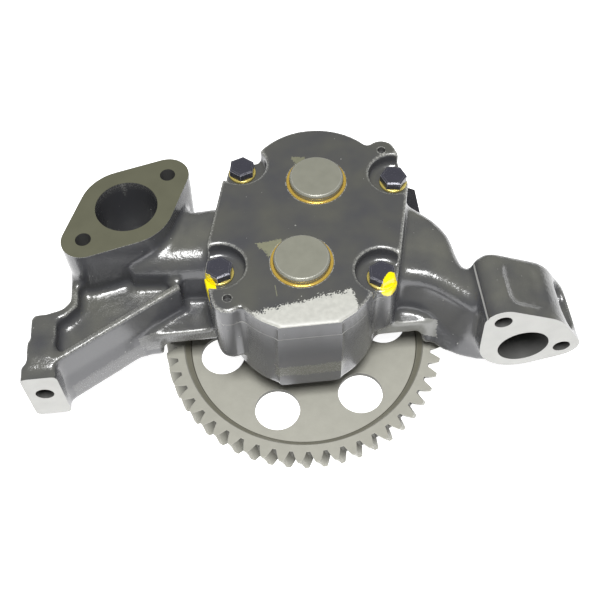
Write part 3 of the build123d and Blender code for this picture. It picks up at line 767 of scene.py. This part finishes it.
def gear_rings_and_shade(tree, base):
    # Painted shade in a thin line at the groove's inner edge, a darker olive band across the groove, and
    # painted shade between the teeth
    radius = vector_maths(tree, "LENGTH", vector_maths(tree, "MULTIPLY", own_place(tree), (1, 1, 0)))
    for inner, outer, ring_colour in groove_shade_and_band:
        band = maths(tree, "MULTIPLY", ramp(tree, radius, inner, inner + 0.3 * mm),
                     ramp(tree, radius, outer, outer + 0.3 * mm, 1.0, 0.0))
        base = blend_colour(tree, band, base, ring_colour)
    # Painted shade on the tooth flanks, darker towards the root
    steep = ramp(tree, maths(tree, "ABSOLUTE", looking_up(tree)), 0.5, 0.7, 1.0, 0.0)
    root_shade = maths(tree, "MULTIPLY", steep, ramp(tree, radius, root_radius, tip_radius, 0.92, 0.0))
    return blend_colour(tree, root_shade, base, darkened(gear_grey, 0.2))


gear_steel = metal("gear_grey", gear_grey, (0.44, 0.435, 0.39, 1), roughness=0.50, metallic=0.1, scale=520.0,
                   bump=0.00006, edge_radius=0.0005, stain=0.22, bands_and_shade=gear_rings_and_shade)
dress("drive_gear", gear_steel)
nut_steel = metal("nut_steel", (0.16, 0.16, 0.16, 1), (0.4, 0.4, 0.38, 1), roughness=0.4, metallic=0.8,
                  scale=1200.0, bump=0.00002)
dress("drive_gear_nut", nut_steel)
tab_steel = metal("tab_steel", (0.45, 0.44, 0.41, 1), (0.6, 0.6, 0.57, 1), roughness=0.36, metallic=0.85,
                  scale=1600.0, bump=0.00002)
dress("drive_tab_washer", tab_steel)

# Relief valve
# A hex plug in the root of the pressure arm, with a sealing washer. It holds a spring and a piston
# that lift when the pressure is too high.

plug_steel = metal("plug_steel", (0.10, 0.10, 0.11, 1), (0.6, 0.6, 0.6, 1), roughness=0.20, metallic=0.8,
                   scale=1200.0, bump=0.000005)
dress("relief_plug", plug_steel)
seal_copper = metal("seal_copper", (0.60, 0.27, 0.13, 1), (0.75, 0.4, 0.22, 1), roughness=0.35, metallic=0.9,
                    scale=1500.0, bump=0.00001)
dress("relief_plug_seal", seal_copper)
dress("relief_piston", ground)

spring_low, spring_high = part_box("relief_spring")
wire_r, coil_r, turns = 0.8 * mm, 4.56 * mm, 7

spring_tree, spring_in, spring_out = pattern("coil_spring", ("Coil Radius", "Wire Radius", "Length", "Turns",
                                                             "End Pitch"))


def times(first, second):
    return maths(spring_tree, "MULTIPLY", first, second)


straight = place(spring_tree, "GeometryNodeCurvePrimitiveLine")
steps = place(spring_tree, "GeometryNodeResampleCurve", {"Curve": straight.outputs["Curve"], "Count": 420})
along = place(spring_tree, "GeometryNodeSplineParameter").outputs["Factor"]
angle = times(times(along, spring_in.outputs["Turns"]), 2 * math.pi)
eased = times(times(along, along), maths(spring_tree, "SUBTRACT", 3.0, times(along, 2.0)))
share = maths(spring_tree, "ADD", times(along, spring_in.outputs["End Pitch"]),
              times(eased, maths(spring_tree, "SUBTRACT", 1.0, spring_in.outputs["End Pitch"])))
coiled = place(spring_tree, "ShaderNodeCombineXYZ", {
    "X": times(maths(spring_tree, "COSINE", angle), spring_in.outputs["Coil Radius"]),
    "Y": times(share, spring_in.outputs["Length"]),
    "Z": times(maths(spring_tree, "SINE", angle), spring_in.outputs["Coil Radius"])})
helix = place(spring_tree, "GeometryNodeSetPosition", {
    "Geometry": steps.outputs["Curve"], "Position": coiled.outputs["Vector"]})
round_wire = place(spring_tree, "GeometryNodeCurvePrimitiveCircle", {
    "Resolution": 16, "Radius": spring_in.outputs["Wire Radius"]})
drawn = place(spring_tree, "GeometryNodeCurveToMesh", {
    "Curve": helix.outputs["Geometry"], "Profile Curve": round_wire.outputs["Curve"], "Fill Caps": True})
set_out(spring_tree, spring_in, spring_out, drawn.outputs["Mesh"])

spring_wire = metal("spring_wire", (0.3, 0.3, 0.31, 1), (0.5, 0.5, 0.5, 1), roughness=0.35, metallic=0.9,
                    scale=1500.0, bump=0.00001)
spring = repeat("relief_coil", spring_tree, ((valve_x, (spring_low.y + wire_r) / mm),), turns=(0,),
                level=valve_z * mm, finish=spring_wire, sizes={
                    "Coil Radius": coil_r, "Wire Radius": wire_r, "Turns": turns, "End Pitch": 0.5,
                    "Length": spring_high.y - spring_low.y - 2 * wire_r})
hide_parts("relief_spring")
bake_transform(spring)

# Cover bolts, washers and dowels
# Four black hex bolts on gold-passivated washers, each turned as it came tight. Two of them carry a dab of
# yellow paint, put on after tightening. Two short dowels sit just below the cover's face.

bolt_turns = (20.0, -9.0, 20.0, 25.0)
bolt_low, bolt_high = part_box("cover_bolts")
washer_low, washer_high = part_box("cover_washers")
head_flats = 14.0 * mm
washer_outer, washer_inner = 8.3 * mm, 4.4 * mm
paint_dabs = [left_dab, right_dab]

bolt_tree, bolt_in, bolt_out = pattern("hex_bolt", ("Corner", "Head Height", "Edge Height", "Top Scale",
                                                   "Shank Radius", "Shank Length"))


def joined(tree, pieces):
    node = place(tree, "GeometryNodeJoinGeometry")
    for piece in pieces:
        tree.links.new(piece, node.inputs["Geometry"])
    return node.outputs["Geometry"]


foot = place(bolt_tree, "GeometryNodeMeshCircle", {"Vertices": 6, "Radius": bolt_in.outputs["Corner"]},
             fill_type="NGON")
side_height = maths(bolt_tree, "SUBTRACT", bolt_in.outputs["Head Height"], bolt_in.outputs["Edge Height"])
sides = place(bolt_tree, "GeometryNodeExtrudeMesh", {
    "Mesh": foot.outputs["Mesh"], "Individual": False, "Offset Scale": side_height})
rim = place(bolt_tree, "GeometryNodeExtrudeMesh", {
    "Mesh": sides.outputs["Mesh"], "Selection": sides.outputs["Top"], "Individual": False,
    "Offset Scale": bolt_in.outputs["Edge Height"]})
crown = place(bolt_tree, "GeometryNodeScaleElements", {
    "Geometry": rim.outputs["Mesh"], "Selection": rim.outputs["Top"], "Scale": bolt_in.outputs["Top Scale"]})
under = place(bolt_tree, "GeometryNodeFlipFaces", {"Mesh": foot.outputs["Mesh"]})
head = joined(bolt_tree, [crown.outputs["Geometry"], under.outputs["Mesh"]])
closed = place(bolt_tree, "GeometryNodeMergeByDistance", {"Geometry": head, "Distance": 0.01 * mm})
shank = place(bolt_tree, "GeometryNodeMeshCylinder", {
    "Vertices": 32, "Radius": bolt_in.outputs["Shank Radius"], "Depth": bolt_in.outputs["Shank Length"]})
drop = place(bolt_tree, "ShaderNodeCombineXYZ", {
    "Z": maths(bolt_tree, "MULTIPLY", bolt_in.outputs["Shank Length"], -0.5)})
lowered = place(bolt_tree, "GeometryNodeTransform", {
    "Geometry": shank.outputs["Mesh"], "Translation": drop.outputs["Vector"]})
set_out(bolt_tree, bolt_in, bolt_out, joined(bolt_tree, [closed.outputs["Geometry"],
                                                         lowered.outputs["Geometry"]]))

# The bolts' and washers' light edge colours are painted highlights
black = metal("black_oxide", (0.060, 0.060, 0.076, 1), (0.62, 0.62, 0.66, 1), roughness=0.22, metallic=0.3,
              scale=700.0, bump=0.00005, edge_radius=0.0004, stain=0.3, dabs=paint_dabs)
gold = metal("gold_zinc", (0.62, 0.50, 0.13, 1), (0.95, 0.86, 0.42, 1), roughness=0.24, metallic=0.5,
             scale=1000.0, bump=0.00001, edge_radius=0.0005, stain=0.2, dabs=paint_dabs)
# The dowels are made near black: painted shade down their holes
shaded_dowel_steel = metal("shaded_dowel_steel", (0.10, 0.10, 0.10, 1), (0.5, 0.5, 0.5, 1), roughness=0.3, metallic=0.6,
                    scale=1000.0, bump=0.00003)
bolts = repeat("cover_bolt_set", bolt_tree, bolt_places, bolt_turns, level=washer_high.z, finish=black,
               sizes={"Corner": head_flats / math.sqrt(3), "Head Height": bolt_high.z - washer_high.z,
                      "Edge Height": 0.5 * mm, "Top Scale": 0.84, "Shank Radius": 4.0 * mm,
                      "Shank Length": washer_high.z - bolt_low.z})
washers = repeat("cover_washer_set", ring_tree, bolt_places, bolt_turns,
                 level=(washer_low.z + washer_high.z) / 2, finish=gold, sizes={
                     "Middle Radius": (washer_outer + washer_inner) / 2,
                     "Width": washer_outer - washer_inner, "Height": washer_high.z - washer_low.z,
                     "Corner": 0.6 * mm})
for piece, node, finish in ((bolts, "cover_bolts", "black_steel"),
                            (washers, "cover_washers", "zinc_yellow")):
    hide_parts(node)
    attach(piece, "housing")
dress("cover_dowels", shaded_dowel_steel)

# Camera
# It looks down at the cover from the front and a little to the left, as the photograph was taken.

azimuth, elevation, roll = math.radians(-4.726), math.radians(56.338), math.radians(-1.494)
camera_place = (-0.02664, -0.30269, 0.50507)
back = Vector((math.sin(azimuth) * math.cos(elevation), -math.cos(azimuth) * math.cos(elevation),
               math.sin(elevation)))
right = Vector((math.cos(azimuth), math.sin(azimuth), 0))
up = back.cross(right)
camera_right = math.cos(roll) * right + math.sin(roll) * up
camera_up = -math.sin(roll) * right + math.cos(roll) * up
lens = bpy.data.cameras.new("camera")
lens.lens = 54.87
lens.sensor_width = 36
lens.clip_start = 0.01
camera = add_object("camera", lens)
camera.matrix_world = Matrix((camera_right, camera_up, back)).transposed().to_4x4()
camera.location = camera_place
bpy.context.scene.camera = camera

# Floor and light
# A plain white table in a soft white room, under one wide lamp that stands overhead and a little in front.

white = (1, 1, 1, 1)
table_white = (0.9, 0.9, 0.9, 1)
lamp_place = Vector((-0.02, -0.36, 1.4))

shape = bmesh.new()
bmesh.ops.create_grid(shape, x_segments=1, y_segments=1, size=3.0)
floor = show("floor", shape)
floor.location.z = -0.5 * mm
floor_white, shader = new_finish("floor_white", roughness=0.9)
shader.inputs["Base Color"].default_value = table_white
shader.inputs["Emission Color"].default_value = white
shader.inputs["Emission Strength"].default_value = 0.9
floor.data.materials.append(floor_white)

world = bpy.data.worlds.new("room")
world.use_nodes = True
room = world.node_tree.nodes["Background"]
room.inputs["Color"].default_value = white
room.inputs["Strength"].default_value = 0.16
bpy.context.scene.world = world

light = bpy.data.lights.new("lamp_above", "AREA")
light.size = 0.52
light.energy = 28
lamp = add_object("lamp_above", light)
lamp.location = lamp_place
lamp.rotation_mode = "QUATERNION"
lamp.rotation_quaternion = (-lamp_place).to_track_quat("-Z", "Y")
bpy.context.scene.view_settings.view_transform = "Standard"
